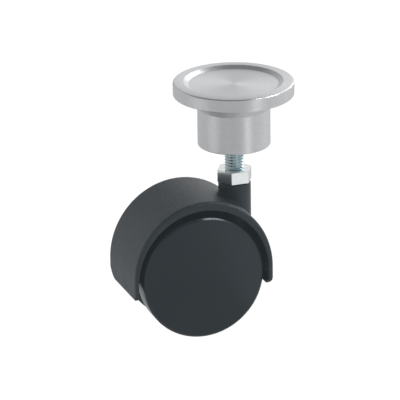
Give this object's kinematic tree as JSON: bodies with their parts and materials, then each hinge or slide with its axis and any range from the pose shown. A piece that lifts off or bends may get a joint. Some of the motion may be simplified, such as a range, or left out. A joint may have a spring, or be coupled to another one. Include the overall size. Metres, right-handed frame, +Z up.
{
  "type": "furniture castor",
  "caption": "Hooded furniture castor with side wheels under a black hood, a threaded swivel stem with a hexagon collar, and a round aluminium adapter plate with a tapped boss.",
  "frame": {"origin": "middle of the adapter plate's recess floor, on the swivel axis", "axes": "+Z up along the swivel axis, +X the way the castor rolls with its wheels trailing at -X, +Y along the axle to the left wheel"},
  "size_m": [0.0744, 0.05, 0.104],
  "materials": {
    "plate_aluminium": "satin, turned",
    "zinc_steel": "bright zinc plate with a faint blue-green tint",
    "spring_steel": "plain spring steel",
    "hood_plastic": "matt black, finely textured",
    "wheel_plastic": "smooth satin black",
    "acetal": "plain black"
  },
  "bodies": {
    "plate": {"adapter_plate": "plate_aluminium"},
    "lift": {"thrust_washer": "acetal"},
    "stem": {"threaded_stem": "zinc_steel", "retaining_ring": "spring_steel"},
    "castor_body": {"housing": "hood_plastic", "upper_bush": "acetal", "lower_bush": "acetal", "axle": "zinc_steel", "spacer_washer_left": "acetal", "spacer_washer_right": "acetal", "axle_clip_left": "spring_steel", "axle_clip_right": "spring_steel"},
    "left_wheel": {"wheel_left": "wheel_plastic", "wheel_cover_left": "wheel_plastic", "hub_bush_left": "acetal"},
    "right_wheel": {"wheel_right": "wheel_plastic", "wheel_cover_right": "wheel_plastic", "hub_bush_right": "acetal"}
  },
  "joints": [
    {"name": "stem_travel", "type": "slide", "parent": "plate", "child": "lift", "axis": [0, 0, 1], "range_m": [0, 0.0105]},
    {"name": "stem_turn", "type": "hinge", "parent": "lift", "child": "stem", "pos_m": [0, 0, 0], "axis": [0, 0, 1], "range_deg": [0, 3027.6]},
    {"name": "swivel", "type": "hinge", "parent": "stem", "child": "castor_body", "pos_m": [0, 0, 0], "axis": [0, 0, 1], "continuous": true},
    {"name": "left_wheel_spin", "type": "hinge", "parent": "castor_body", "child": "left_wheel", "pos_m": [-0.0196, 0, -0.0768], "axis": [0, 1, 0], "continuous": true},
    {"name": "right_wheel_spin", "type": "hinge", "parent": "castor_body", "child": "right_wheel", "pos_m": [-0.0196, 0, -0.0768], "axis": [0, 1, 0], "continuous": true}
  ],
  "couplings": [
    {"joint": "stem_turn", "follows": "stem_travel", "rad_per_m": 5026.5}
  ]
}
